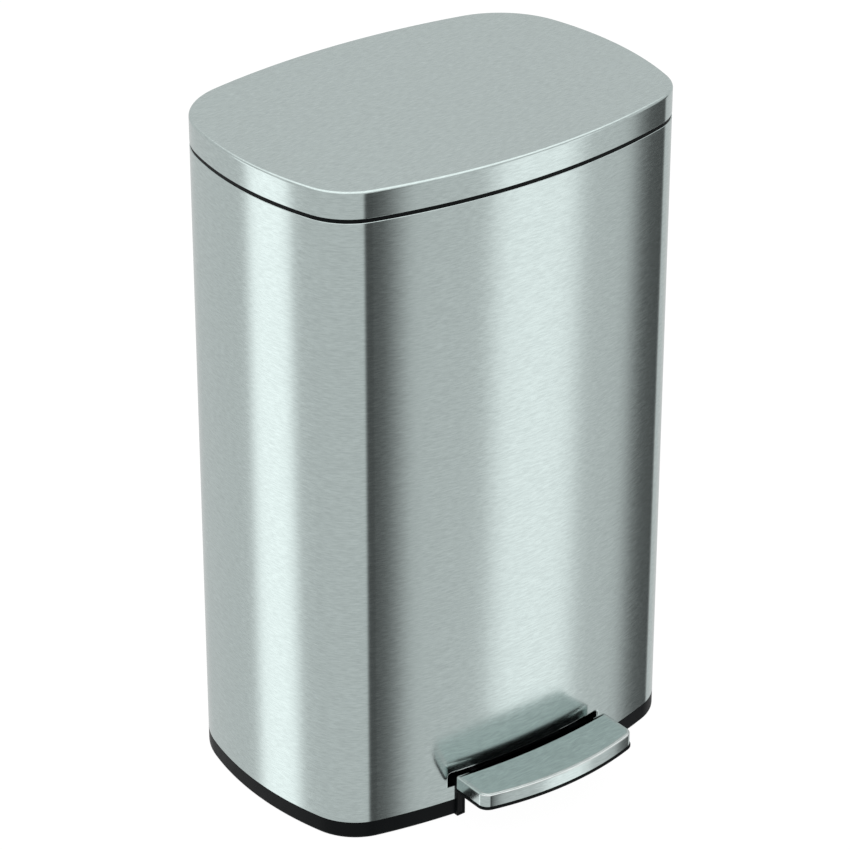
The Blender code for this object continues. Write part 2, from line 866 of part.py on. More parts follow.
def build_lever():
    """Folded steel channel: two side flanges, a plate under the pedal and a shelf at the rear."""
    web_top = pedal_low - gap
    front = -half_depth - pedal_gap - lever_front_overlap
    rear = lever_rear
    boss = lever_boss_length / 2
    boss_top, boss_low = axle_z + lever_boss_height / 2, axle_z - lever_boss_height / 2
    flange = [
        (front, web_top - lever_front_height),
        (axle_y - boss, boss_low),
        (axle_y + boss, boss_low),
        (rear, lever_rear_top - lever_rear_height),
        (rear, lever_rear_top),
        (axle_y + boss, boss_top),
        (axle_y - boss, boss_top),
        (axle_y - 3 * boss, web_top),
        (front, web_top),
    ]
    web = box(
        (-lever_half_width, front, web_top - lever_sheet),
        (lever_half_width, -half_depth + bay_depth + lever_web_root, web_top),
    )
    lever = part("pedal_lever", web, "black_paint", pedal_axis)
    inner = lever_half_width - lever_sheet
    for _, side in SIDES:
        low, high = sorted((side * inner, side * (lever_half_width - sink)))
        join(lever, slab(flange, low, high, along="X"))
    shelf_front = rear - lever_shelf_length
    shelf = [
        (shelf_front, lever_top_z(shelf_front) - lever_sheet),
        (rear - sink, lever_top_z(rear) - lever_sheet),
        (rear - sink, lever_top_z(rear) - sink),
        (shelf_front, lever_top_z(shelf_front) - sink),
    ]
    join(lever, slab(shelf, -inner - lever_sheet / 2, inner + lever_sheet / 2, along="X"))
    reach = lever_half_width + past
    bore = axle_radius + axle_clearance
    cut(lever, rod((-reach, axle_y, axle_z), (reach, axle_y, axle_z), bore))
    for _, side in SIDES:
        x, y = side * pedal_screw_x, pedal_middle_y()
        hole = rod((x, y, web_top - past), (x, y, pedal_low), screw_radius + gap)
        cut(lever, hole)
    return lever


def build_pedal():
    """Steel tread over a black moulding whose lip shows below it."""
    lip_top = pedal_low + pedal_lip_height
    under = part("pedal_underside", slab(pedal_outline(), pedal_low, lip_top), "black_plastic")
    hang(under, pedal_axis)
    core_inset = pedal_lip + tread_wall + gap
    core_top = pedal_top - tread_edge_radius - gap
    join(under, slab(pedal_outline(core_inset), (pedal_low + lip_top) / 2, core_top))
    sheet = slab(pedal_outline(pedal_lip), lip_top + gap, pedal_top)
    tread = part("pedal_tread", without_caps(sheet, top=False), "brushed_steel", pedal_axis)
    round_edges(tread, tread_edge_radius, segments=2, angle=60)
    thicken(tread, tread_wall)
    web_low = pedal_low - gap - lever_sheet
    for name, side in SIDES:
        x, y = side * pedal_screw_x, pedal_middle_y()
        length = core_top - 2 * pedal_screw_cover - web_low
        hole = rod((x, y, 0.0), (x, y, core_top - pedal_screw_cover), screw_radius + gap)
        cut(under, hole)
        place = (x, y, web_low - gap)
        turned(
            f"pedal_screw_{name}",
            screw_profile(length),
            "plated_steel",
            pedal_axis,
            at=place,
            towards=(0, 0, -1),
            steps=16,
        )


def bracket_screw_x():
    """X of the screws that hold the axle's brackets."""
    return lever_half_width + lever_side_play + bracket_width / 2


def build_axle():
    """The pedal's axle, its two brackets on the base and the clips on its ends."""
    inner = lever_half_width + lever_side_play
    outer = inner + bracket_width
    half_axle = outer + gap + clip_thickness + axle_end
    turned(
        "pedal_axle",
        solid_profile(axle_radius, -half_axle, half_axle),
        "bright_steel",
        at=(0, axle_y, axle_z),
        towards=(1, 0, 0),
    )
    bore = axle_radius + axle_clearance
    for name, side in SIDES:
        low = (inner, axle_y - bracket_depth / 2, floor_top + gap)
        high = (outer, axle_y + bracket_depth / 2, axle_z + bracket_rise)
        bracket = part(f"axle_bracket_{name}", side_box(side, low, high), "black_plastic")
        round_edges(bracket, bracket_edge_radius, segments=2)
        reach = outer + past
        cut(bracket, rod((0, axle_y, axle_z), (side * reach, axle_y, axle_z), bore))
        x = side * bracket_screw_x()
        screw_top = axle_z - axle_radius - bracket_screw_below
        hole = rod((x, axle_y, 0), (x, axle_y, screw_top + gap), screw_radius + gap)
        cut(bracket, hole)
        seat = base_clearance + bracket_screw_recess
        turned(
            f"bracket_screw_{name}",
            screw_profile(screw_top - seat),
            "plated_steel",
            at=(x, axle_y, seat - gap),
            towards=(0, 0, -1),
            steps=16,
        )
        clip = ring_profile(clip_radius, bore, 0.0, clip_thickness)
        turned(
            f"axle_clip_{name}",
            clip,
            "bright_steel",
            at=(side * (outer + gap), axle_y, axle_z),
            towards=(side, 0, 0),
            ring=True,
        )


# ---------------------------------------------------------------- push rod and damper


def foot_block(name, x, radius, half_length, height, rod_r, parent):
    """A plastic shoe with a round sole, which stands on the lever's shelf and holds a rod."""
    tilt = math.atan(lever_slope())
    centre_z = lever_top_z(rod_y) + lever_play + radius / math.cos(tilt)
    sole = arc((rod_y, centre_z), radius, -math.pi, 0.0, 10)
    sole += [
        (rod_y + radius, centre_z),
        (rod_y + radius, centre_z + height),
        (rod_y - radius, centre_z + height),
    ]
    shoe = slab(sole, x - half_length, x + half_length, along="X")
    foot = part(name, shoe, "black_plastic", parent)
    rod_low = centre_z + rod_seat
    cut(foot, rod((x, rod_y, rod_low), (x, rod_y, centre_z + height + past), rod_r + gap))
    return rod_low + gap


def build_push_rod():
    """Steel rod behind the bucket, with its shoe on the lever and its slotted clip on the crank."""
    size = (rod_foot_radius, rod_foot_half_length, rod_foot_height)
    rod_low = foot_block("rod_foot", 0.0, *size, rod_radius, rod_axis)
    block_high = crank_z - crank_eye_radius - clip_slot_play * 2 - clip_clearance
    block_low = block_high - clip_block_height
    rod_high = block_high - rod_end_cover
    turned(
        "push_rod",
        solid_profile(rod_radius, rod_low, rod_high - gap),
        "bright_steel",
        rod_axis,
        at=(0, rod_y, 0),
        steps=16,
    )
    half = clip_block / 2
    block = box((-half, rod_y - half, block_low), (half, rod_y + half, block_high))
    clip = part("rod_top_clip", block, "plated_steel", rod_axis)
    drift = (crank_radius - crank_radius * math.cos(lid_open_angle / 2)) / 2
    slot_half = drift + crank_pin_radius + clip_slot_play
    slot_rise = crank_pin_radius + clip_slot_play
    strip = rounded_rectangle(
        (rod_y - slot_half - clip_margin, block_high - clip_strip),
        (rod_y + slot_half + clip_rear_margin, crank_z + slot_rise + clip_margin),
        clip_corner_radius,
    )
    join(clip, slab(strip, -clip_strip / 2, clip_strip / 2, along="X"))
    slot = rounded_rectangle(
        (rod_y - slot_half, crank_z - slot_rise),
        (rod_y + slot_half, crank_z + slot_rise),
        slot_rise - sink,
    )
    cut(
        clip,
        slab(slot, -past, past, along="X"),
        rod((0, rod_y, block_low - past), (0, rod_y, rod_high), rod_radius + gap),
    )


def build_rod_cover():
    """Black channel on the inside of the rear wall, with two guides that the rod slides in."""
    back = half_depth - inner_wall - cover_play
    front = bucket_back + cover_behind_bucket
    low = (-cover_half_width, front, cover_low)
    cover = part("rod_cover", box(low, (cover_half_width, back, cover_high)), "black_plastic")
    inside = cover_half_width - cover_wall
    cut(cover, box((-inside, front + cover_wall, 0), (inside, half_depth, total_height)))
    for name, z in (("lower", cover_low + guide_from_end), ("upper", cover_high - guide_from_end)):
        block_low = (-inside + gap, front + cover_wall + gap, z - guide_height / 2)
        block_high = (inside - gap, back, z + guide_height / 2)
        guide = part(f"rod_guide_{name}", box(block_low, block_high), "grey_plastic")
        cut(guide, rod((0, rod_y, 0), (0, rod_y, total_height), rod_radius + axle_clearance))


def build_damper():
    """Small dashpot that slows the lid: its piston rod stands on the lever's shelf."""
    x = damper_x
    top = damper_low + damper_length
    cup = [
        (0.0, top),
        (damper_radius, top),
        (damper_radius, damper_low),
        (damper_bore, damper_low),
        (damper_bore, top - damper_end),
        (0.0, top - damper_end),
    ]
    turned("damper_cylinder", cup, "grey_plastic", at=(x, rod_y, 0))
    cap_low = damper_low - gap - damper_end
    hole = damper_rod_radius + axle_clearance
    cap = ring_profile(damper_radius, hole, cap_low, damper_low - gap)
    turned("damper_cap", cap, "black_plastic", at=(x, rod_y, 0), ring=True)
    piston_low = damper_low + damper_end
    piston_high = piston_low + piston_height
    turned(
        "damper_piston",
        solid_profile(damper_bore - gap, piston_low, piston_high),
        "black_rubber",
        damper_axis,
        at=(x, rod_y, 0),
    )
    shoe = (damper_foot_radius, damper_foot_half_length, damper_foot_height)
    rod_low = foot_block("damper_foot", x, *shoe, damper_rod_radius, damper_axis)
    turned(
        "damper_rod",
        solid_profile(damper_rod_radius, rod_low, piston_low - gap),
        "bright_steel",
        damper_axis,
        at=(x, rod_y, 0),
        steps=16,
    )
    clip_z = top - damper_length / 3
    half = damper_radius + damper_clip_wall
    wall_y = rear_face_y(abs(x) + half) - inner_wall
    front = rod_y - damper_radius - damper_clip_lip
    low = (x - half, front, clip_z - damper_clip_height / 2)
    clip = part(
        "damper_clip",
        box(low, (x + half, wall_y, clip_z + damper_clip_height / 2)),
        "black_plastic",
    )
    hold = rod((x, rod_y, 0), (x, rod_y, total_height), damper_radius + gap)
    mouth_half = damper_radius * damper_clip_mouth
    mouth = box((x - mouth_half, front - past, 0), (x + mouth_half, rod_y, total_height))
    cut(clip, hold, mouth)


def rear_face_y(x):
    """Y of the body's rear surface at a given X."""
    _, cy, radius = wide_arcs()[2]
    return cy + math.sqrt(radius**2 - x**2)


# ---------------------------------------------------------------- lid


def build_lid():
    """Pressed steel lid with a black liner inside, and two bumpers that it closes on."""
    sheet = without_caps(slab(body_outline(), lid_low, total_height), top=False)
    lid = part("lid_shell", sheet, "brushed_steel", lid_axis)
    round_edges(lid, lid_edge_radius, segments=2, angle=60)
    thicken(lid, lid_wall)
    fit = lid_wall + gap
    liner_high = total_height - lid_edge_radius - gap
    liner = part(
        "lid_liner", slab(body_outline(fit), liner_low, liner_high), "black_plastic", lid_axis
    )
    cut(
        liner,
        slab(body_outline(fit + liner_wall), liner_low + liner_wall, liner_high + past),
    )
    for x, y in hinge_screw_places():
        cut(liner, rod((x, y, lid_low), (x, y, liner_high), screw_radius + gap))
    x = side_face_x(bumper_y, rim_setback + rim_width / 2)
    for name, side in SIDES:
        turned(
            f"lid_bumper_{name}",
            solid_profile(bumper_radius, lid_low, liner_low - gap),
            "black_rubber",
            lid_axis,
            at=(side * x, bumper_y, 0),
            steps=16,
        )


def bracket_span():
    """Front and rear edges, in Y, of the hinge bracket's plate."""
    return half_depth - bracket_front, half_depth - bracket_rear


def hinge_screw_places():
    """Where the hinge bracket is screwed to the liner, in plan."""
    front, _ = bracket_span()
    return [
        (side * hinge_screw_x, front + row)
        for side in (-1, 1)
        for row in hinge_screw_rows
    ]


def build_hinge_bracket():
    """Steel plate under the liner whose two arms reach back to the hinge pin."""
    front, rear = bracket_span()
    high = liner_low - gap
    low = high - bracket_plate
    plate = box((-bracket_half_length, front, low), (bracket_half_length, rear, high))
    bracket = part("lid_hinge_bracket", plate, "plated_steel", lid_axis)
    arm_top = lid_low - arm_top_drop
    arm = [
        (rear - arm_root * 2 / 3, high - sink),
        (rear - arm_root, low + sink),
        (rear - arm_eye_radius / 2, hinge_z - arm_eye_radius / 3),
        (hinge_y, hinge_z - arm_eye_radius + sink),
        (hinge_y, arm_top - arm_top_drop),
        (rear + arm_thickness, arm_top),
        (rear - sink, high - sink),
    ]
    for _, side in SIDES:
        inner, outer = sorted((side * (arm_outer - arm_thickness), side * arm_outer))
        eye = rod((inner + sink, hinge_y, hinge_z), (outer - sink, hinge_y, hinge_z), arm_eye_radius)
        join(bracket, slab(arm, inner, outer, along="X"), eye)
    reach = arm_outer + past
    bore = pin_radius + axle_clearance
    cut(bracket, rod((-reach, hinge_y, hinge_z), (reach, hinge_y, hinge_z), bore))
    for number, (x, y) in enumerate(hinge_screw_places(), 1):
        cut(bracket, rod((x, y, low - past), (x, y, high + past), screw_radius + gap))
        turned(
            f"hinge_screw_{number}",
            screw_profile(bracket_plate + liner_wall + hinge_screw_bite),
            "plated_steel",
            lid_axis,
            at=(x, y, low - gap),
            towards=(0, 0, -1),
            steps=16,
        )
    for name, side in SIDES:
        x, y = crank_rivet_place(side)
        cut(bracket, rod((x, y, low - past), (x, y, high + past), screw_radius + gap))


def crank_rivet_place(side):
    """A crank rivet's place in plan."""
    front, _ = bracket_span()
    return side * (crank_cheek_outer + rivet_beside_cheek), front + rivet_row


def build_crank():
    """Clevis under the hinge bracket whose pin the push rod's slotted clip lifts."""
    front, rear = bracket_span()
    plate_high = liner_low - gap - bracket_plate - gap
    plate_low = plate_high - crank_plate
    half = crank_plate_half_width
    plate = box((-half, front + crank_plate_front, plate_low), (half, rear, plate_high))
    crank = part("lid_crank", plate, "plated_steel", lid_axis)
    eye = crank_eye_radius
    cheek = [
        (crank_y - eye, crank_z),
        (crank_y + eye, crank_z),
        (crank_y + eye, crank_z + eye),
        (rear - sink, plate_high - sink),
        (rear - arm_root * 2 / 3, plate_high - sink),
    ]
    for _, side in SIDES:
        inner, outer = sorted((side * crank_cheek_inner, side * crank_cheek_outer))
        join(
            crank,
            slab(cheek, inner, outer, along="X"),
            rod((inner + sink, crank_y, crank_z), (outer - sink, crank_y, crank_z), eye),
        )
    bore = crank_pin_radius + axle_clearance
    cut(crank, rod((-past, crank_y, crank_z), (past, crank_y, crank_z), bore))
    reach = crank_cheek_outer + crank_pin_end
    turned(
        "crank_pin",
        solid_profile(crank_pin_radius, -reach, reach),
        "bright_steel",
        lid_axis,
        at=(0, crank_y, crank_z),
        towards=(1, 0, 0),
        steps=16,
    )
    for name, side in SIDES:
        x, y = crank_rivet_place(side)
        hole = rod((x, y, plate_low - past), (x, y, plate_high + past), screw_radius + gap)
        cut(crank, hole)
        length = plate_high - plate_low + bracket_plate - gap
        turned(
            f"crank_rivet_{name}",
            screw_profile(length, rivet_head_radius, rivet_head_height),
            "plated_steel",
            lid_axis,
            at=(x, y, plate_low - gap),
            towards=(0, 0, -1),
            steps=16,
        )


build_body_shell()
build_base()
build_feet()
build_top_rim()
build_deck()
build_inner_bucket()
build_hinge_housing()
build_lever()
build_pedal()
build_axle()
build_push_rod()
build_rod_cover()
build_damper()
build_lid()
build_hinge_bracket()
build_crank()
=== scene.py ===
"""Looks of the step-on waste bin: fine steel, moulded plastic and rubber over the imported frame.

Lengths are metres. The frame gives each piece its place; a piece that needs a finer surface than its
CAD node is swept again round the same plan, and the small mechanism keeps its CAD shape.
"""

import json
import math

import bmesh
import bpy
from mathutils import Matrix, Vector


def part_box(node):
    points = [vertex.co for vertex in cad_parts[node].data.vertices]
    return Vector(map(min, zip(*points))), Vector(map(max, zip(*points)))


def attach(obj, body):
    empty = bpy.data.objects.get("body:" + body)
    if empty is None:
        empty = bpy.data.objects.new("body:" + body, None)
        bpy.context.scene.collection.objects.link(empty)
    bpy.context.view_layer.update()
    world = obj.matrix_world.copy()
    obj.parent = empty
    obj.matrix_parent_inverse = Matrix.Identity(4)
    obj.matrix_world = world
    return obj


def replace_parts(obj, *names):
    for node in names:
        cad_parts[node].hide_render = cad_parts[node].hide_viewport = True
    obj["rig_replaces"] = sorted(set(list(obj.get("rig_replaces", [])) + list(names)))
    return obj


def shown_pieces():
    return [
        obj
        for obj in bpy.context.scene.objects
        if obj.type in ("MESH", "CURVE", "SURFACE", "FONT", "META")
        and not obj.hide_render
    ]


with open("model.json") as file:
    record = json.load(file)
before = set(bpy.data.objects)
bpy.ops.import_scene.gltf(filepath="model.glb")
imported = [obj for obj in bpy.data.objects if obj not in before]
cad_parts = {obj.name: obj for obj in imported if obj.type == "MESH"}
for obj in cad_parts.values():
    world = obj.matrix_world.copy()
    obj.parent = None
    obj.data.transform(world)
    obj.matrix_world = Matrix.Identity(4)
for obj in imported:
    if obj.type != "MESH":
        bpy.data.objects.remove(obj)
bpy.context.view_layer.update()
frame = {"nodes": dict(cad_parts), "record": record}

# ---------------------------------------------------------------- places, from the frame

shell_low, shell_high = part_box("body_shell")
lid_box_low, lid_box_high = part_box("lid_shell")
rim_box_low, rim_box_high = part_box("top_rim")
base_box_low, base_box_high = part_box("base")
bucket_box_low, bucket_box_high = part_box("inner_bucket")
liner_box_low, liner_box_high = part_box("lid_liner")
tread_box_low, tread_box_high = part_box("pedal_tread")
moulding_box_low, moulding_box_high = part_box("pedal_underside")

half_width = (shell_high.x - shell_low.x) / 2
half_depth = (shell_high.y - shell_low.y) / 2
centre_y = (shell_high.y + shell_low.y) / 2
steel_low, steel_high = shell_low.z, shell_high.z
lid_low, lid_high = lid_box_low.z, lid_box_high.z

# Plan: four wide arcs joined by tangent corner arcs
front_bulge = 0.0296
rear_bulge = 0.0256
side_bulge = 0.0235
front_corner_radius = 0.0545
rear_corner_radius = 0.080
front_steps, corner_steps, side_steps = 30, 22, 34
quarter_steps = 8  # to a quarter turn of the slot's corner or its rolled edge

overshoot = 0.01  # how far a cutter reaches past what it cuts

# Steel body and lid
sheet = 0.0010  # a rolled edge is two sheets thick
body_hem = 0.0009
lid_hem = 0.0004
lid_edge_radius = 0.0024

# Pedal slot in the steel, and the bay under it
slot_half_width = 0.088
slot_low = 0.0330
slot_high = 0.0470
slot_corner_radius = 0.0030
slot_roll_radius = 0.0022
slot_return = 0.0040
slot_tuck = 1.3  # the rolled edge starts this many radii behind the opening's edge
slot_tuck_depth = 0.00005
slot_span_steps = 40
bay_half_width = 0.072
bay_depth = 0.029
cheek_thickness = 0.009
cheek_proud = 0.0030
cheek_top = 0.0360

# Hinge notch in the rear edge
notch_half_width = 0.047
notch_depth = 0.0206
ring_notch_depth = 0.03

# Base tray
band_edge_radius = 0.0035
collar_inset = 0.0010
collar_wall = 0.0022
collar_height = 0.0137
base_floor = 0.0057
base_floor_inset = 0.030

# Black ring under the lid
ring_inset = 0.0006
ring_width = 0.0099

# Bucket
bucket_top_inset = 0.0080
bucket_bottom_inset = 0.0200
bucket_wall = 0.0016
bucket_lip = 0.0032
bucket_lip_height = 0.0040
bucket_floor = 0.0025

# Lid liner
liner_border = 0.0400
liner_recess = 0.0012

# Pedal
pedal_gap = 0.0080
pedal_front_radius = 0.310
pedal_front_corner = 0.0115
pedal_rear_corner = 0.0040
pedal_lip = 0.0010
tread_edge_radius = 0.0012
tread_ledge = 0.0018  # a narrow ledge runs round the tread, a step under its top
tread_step = 0.0005
tread_sheet = 0.0010


# ---------------------------------------------------------------- outlines in plan


def wide_arcs():
    """Centre and radius of the body's front, side and rear arcs, about the body's own middle."""
    chord = half_width - side_bulge
    side_chord = half_depth - (front_bulge + rear_bulge) / 2
    front = (chord**2 + front_bulge**2) / (2 * front_bulge)
    rear = (chord**2 + rear_bulge**2) / (2 * rear_bulge)
    side = (side_chord**2 + side_bulge**2) / (2 * side_bulge)
    return (
        (0.0, -half_depth + front, front),
        (half_width - side, 0.0, side),
        (0.0, half_depth - rear, rear),
    )


def corner_centre(first, second, radius):
    """Centre, on the +X side, of a corner arc that touches two wide arcs from inside."""
    (x1, y1, r1), (x2, y2, r2) = first, second
    reach_1, reach_2 = r1 - radius, r2 - radius
    span = math.hypot(x2 - x1, y2 - y1)
    along = (reach_1**2 - reach_2**2 + span**2) / (2 * span)
    across = math.sqrt(reach_1**2 - along**2)
    ux, uy = (x2 - x1) / span, (y2 - y1) / span
    middle = (x1 + along * ux, y1 + along * uy)
    both = [(middle[0] - s * across * uy, middle[1] + s * across * ux) for s in (-1, 1)]
    return max(both)


def arc(centre, radius, start, end, steps):
    """Points along an arc, without its last point."""
    angles = [start + (end - start) * i / steps for i in range(steps)]
    return [(centre[0] + radius * math.cos(a), centre[1] + radius * math.sin(a)) for a in angles]


def mirrored(half):
    """A closed outline from its +X half, moved to where the body stands."""
    whole = half + [(-x, y) for x, y in reversed(half[1:-1])]
    return [(x, y + centre_y) for x, y in whole]


def heading(centre, towards):
    return math.atan2(towards[1] - centre[1], towards[0] - centre[0])


def plan_arcs():
    """The +X half's five arcs from front to rear, and the headings at which each gives way."""
    front, side, rear = wide_arcs()
    near = corner_centre(front, side, front_corner_radius)
    far = corner_centre(rear, side, rear_corner_radius)
    turns = (heading(front, near), heading(side, near), heading(side, far), heading(rear, far))
    return (front, near, side, far, rear), turns


def body_plan(inset=0.0):
    """The body's plan, counter-clockwise, set in by the same distance all round."""
    (front, near, side, far, rear), turns = plan_arcs()
    half = arc(front, front[2] - inset, -math.pi / 2, turns[0], front_steps)
    half += arc(near, front_corner_radius - inset, turns[0], turns[1], corner_steps)
    half += arc(side, side[2] - inset, turns[1], turns[2], side_steps)
    half += arc(far, rear_corner_radius - inset, turns[2], turns[3], corner_steps)
    half += arc(rear, rear[2] - inset, turns[3], math.pi / 2, front_steps)
    half.append((0.0, half_depth - inset))
    return mirrored(half)


def front_face_y(x):
    """Y of the body's front surface at a given X."""
    _, cy, radius = wide_arcs()[0]
    return centre_y + cy - math.sqrt(radius**2 - x**2)


def pedal_plan(inset=0.0):
    """The pedal's plan: its rear follows the body's front, and its front is a tighter arc."""
    body = wide_arcs()[0]
    pedal_front = moulding_box_low.y - centre_y
    rear_radius = body[2] + pedal_gap + inset
    front_radius = pedal_front_radius - inset
    front = (0.0, pedal_front + pedal_front_radius)
    side = moulding_box_high.x - inset
    corner, heel = pedal_front_corner - inset, pedal_rear_corner - inset
    corner_x, heel_x = side - corner, side - heel
    corner_y = front[1] - math.sqrt((front_radius - corner) ** 2 - corner_x**2)
    heel_y = body[1] - math.sqrt((rear_radius + heel) ** 2 - heel_x**2)
    front_end = math.atan2(corner_y - front[1], corner_x)
    rear_end = math.atan2(heel_y - body[1], heel_x)
    half = arc(front, front_radius, -math.pi / 2, front_end, 28)
    half += arc((corner_x, corner_y), corner, front_end, 0.0, 14)
    half += arc((heel_x, heel_y), heel, 0.0, rear_end + math.pi, 10)
    half += arc(body, rear_radius, rear_end, -math.pi / 2, 28)
    half.append((0.0, body[1] - rear_radius))
    return mirrored(half)


def rounded_path(corners, steps=6):
    """A path through (inset, z, radius) corners, each turned by an arc of its radius."""
    path = []
    for i, (u, z, radius) in enumerate(corners):
        here = Vector((u, z))
        if radius == 0 or i in (0, len(corners) - 1):
            path.append((u, z))
            continue
        before = (Vector(corners[i - 1][:2]) - here).normalized()
        after = (Vector(corners[i + 1][:2]) - here).normalized()
        half_angle = before.angle(after) / 2
        back = radius / math.tan(half_angle)
        centre = here + (before + after).normalized() * radius / math.sin(half_angle)
        start = here + before * back - centre
        end = here + after * back - centre
        turn = start.angle_signed(end)
        for k in range(steps + 1):
            point = centre + Matrix.Rotation(-turn * k / steps, 2) @ start
            path.append((point.x, point.y))
    return path


# ---------------------------------------------------------------- meshes


def add_piece(name, bm, body, replaces=()):
    """Turn a bmesh into a named piece that rides on a body of the frame."""
    mesh = bpy.data.meshes.new(name)
    bm.to_mesh(mesh)
    bm.free()
    mesh.shade_smooth()
    piece = bpy.data.objects.new(name, mesh)
    bpy.context.scene.collection.objects.link(piece)
    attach(piece, body)
    if replaces:
        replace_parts(piece, *replaces)
    return piece


def swept(path, plan=body_plan, closed=False, caps=True):
    """Rings of a plan outline along a path of (inset, z), joined by quads."""
    bm = bmesh.new()
    rings = [[bm.verts.new((x, y, z)) for x, y in plan(inset)] for inset, z in path]
    pairs = list(zip(rings, rings[1:]))
    if closed:
        pairs.append((rings[-1], rings[0]))
    for lower, upper in pairs:
        for i, vert in enumerate(lower):
            after = (i + 1) % len(lower)
            bm.faces.new((vert, lower[after], upper[after], upper[i]))
    if caps and not closed:
        bm.faces.new(reversed(rings[0]))
        bm.faces.new(rings[-1])
    bmesh.ops.recalc_face_normals(bm, faces=bm.faces)
    return bm


def plain_object(name, bm):
    """Turn a bmesh into an object of the scene that rides on nothing yet."""
    mesh = bpy.data.meshes.new(name)
    bm.to_mesh(mesh)
    bm.free()
    made = bpy.data.objects.new(name, mesh)
    bpy.context.scene.collection.objects.link(made)
    return made


def cutter(low, high):
    """A box between two corners, to cut with or to cut from."""
    low, high = Vector(low), Vector(high)
    bm = bmesh.new()
    place = Matrix.LocRotScale((low + high) / 2, None, high - low)
    bmesh.ops.create_cube(bm, size=1.0, matrix=place)
    return plain_object("cutter", bm)


def upright_cutter(outline, front, back):
    """A cutter with an outline in X and Z, from one Y to another."""
    bm = bmesh.new()
    near = [bm.verts.new((x, front, z)) for x, z in outline]
    far = [bm.verts.new((x, back, z)) for x, z in outline]
    bm.faces.new(near)
    bm.faces.new(far[::-1])
    for i, vertex in enumerate(near):
        j = (i + 1) % len(near)
        bm.faces.new((vertex, far[i], far[j], near[j]))
    bmesh.ops.recalc_face_normals(bm, faces=bm.faces)
    return plain_object("cutter", bm)


def cut_away(piece, *tools):
    """Cut the tools out of a piece, and leave only the finished mesh."""
    for tool in tools:
        boolean = piece.modifiers.new("Shape", "BOOLEAN")
        boolean.operation = "DIFFERENCE"
        boolean.solver = "EXACT"
        boolean.object = tool
    evaluated = piece.evaluated_get(bpy.context.evaluated_depsgraph_get())
    mesh = bpy.data.meshes.new_from_object(evaluated)
    piece.modifiers.clear()
    piece.data = mesh
    for tool in tools:
        bpy.data.objects.remove(tool)


bevel_from_angle = 35  # degrees between faces from which an edge is rounded
sharp_from_angle = 50  # degrees between faces from which an edge stays sharp


def soften(piece, width=0.0, segments=3):
    """Round a piece's edges and let its broad faces keep their own normals."""
    if width:
        bevel = piece.modifiers.new("Round edges", "BEVEL")
        bevel.width = width
        bevel.segments = segments
        bevel.limit_method = "ANGLE"
        bevel.angle_limit = math.radians(bevel_from_angle)
    piece.data.shade_smooth()
    piece.data.set_sharp_from_angle(angle=math.radians(sharp_from_angle))
    weighted = piece.modifiers.new("Broad faces", "WEIGHTED_NORMAL")
    weighted.keep_sharp = True


wall_facing = 0.9  # cosine within which a face counts as upright sheet, not a cut or rolled edge


def wall_normals(piece):
    """Give the upright sheet the exact normals of its plan, so that cuts in it leave no ripples."""
    mesh = piece.data
    centres, turns = plan_arcs()
    bounds = (-math.pi / 2,) + turns + (math.pi / 2,)

    def outward(x, y):
        """Heading away from the arc that a point on the plan's +X half belongs to."""
        best = None
        for centre, start, end in zip(centres, bounds, bounds[1:]):
            angle = heading(centre, (x, y))
            off = max(start - angle, angle - end, 0.0)
            if best is None or off < best[0]:
                best = (off, angle)
        return best[1]

    normals = []
    for polygon in mesh.polygons:
        for index in polygon.loop_indices:
            co = mesh.vertices[mesh.loops[index].vertex_index].co
            angle = outward(abs(co.x), co.y - centre_y)
            direction = Vector((math.copysign(math.cos(angle), co.x), math.sin(angle), 0.0))
            facing = polygon.normal.dot(direction)
            if abs(facing) > wall_facing:
                normals.append(direction * math.copysign(1.0, facing))
            else:
                normals.append(polygon.normal.copy())
    mesh.normals_split_custom_set(normals)


# ---------------------------------------------------------------- materials


def new_material(name, colour, metallic, roughness):
    material = bpy.data.materials.new(name)
    material.use_nodes = True
    shader = material.node_tree.nodes["Principled BSDF"]
    shader.inputs["Base Color"].default_value = (*colour, 1.0)
    shader.inputs["Metallic"].default_value = metallic
    shader.inputs["Roughness"].default_value = roughness
    return material, shader


def noise(tree, scale, detail=3.0, stretch=(1.0, 1.0, 1.0)):
    """Noise in the piece's own space, stretched along its axes."""
    place = tree.nodes.new("ShaderNodeTexCoord")
    mapping = tree.nodes.new("ShaderNodeMapping")
    mapping.inputs["Scale"].default_value = stretch
    texture = tree.nodes.new("ShaderNodeTexNoise")
    texture.inputs["Scale"].default_value = scale
    texture.inputs["Detail"].default_value = detail
    tree.links.new(place.outputs["Object"], mapping.inputs["Vector"])
    tree.links.new(mapping.outputs["Vector"], texture.inputs["Vector"])
    return texture.outputs["Fac"]


pattern_low, pattern_high = 0.3, 0.7  # noise is spread between these


def vary(tree, source, socket, low, high):
    """Drive a number on the shader from a 0 to 1 pattern."""
    spread = tree.nodes.new("ShaderNodeMapRange")
    spread.inputs["From Min"].default_value = pattern_low
    spread.inputs["From Max"].default_value = pattern_high
    spread.inputs["To Min"].default_value = low
    spread.inputs["To Max"].default_value = high
    tree.links.new(source, spread.inputs["Value"])
    tree.links.new(spread.outputs["Result"], socket)


def tint(tree, source, socket, dark, light):
    """Drive a colour on the shader from a 0 to 1 pattern."""
    ramp = tree.nodes.new("ShaderNodeValToRGB")
    ramp.color_ramp.elements[0].position = pattern_low
    ramp.color_ramp.elements[1].position = pattern_high
    ramp.color_ramp.elements[0].color = (*dark, 1.0)
    ramp.color_ramp.elements[1].color = (*light, 1.0)
    tree.links.new(source, ramp.inputs["Fac"])
    tree.links.new(ramp.outputs["Color"], socket)


def bump(tree, source, shader, strength, distance):
    node = tree.nodes.new("ShaderNodeBump")
    node.inputs["Strength"].default_value = strength
    node.inputs["Distance"].default_value = distance
    tree.links.new(source, node.inputs["Height"])
    tree.links.new(node.outputs["Normal"], shader.inputs["Normal"])


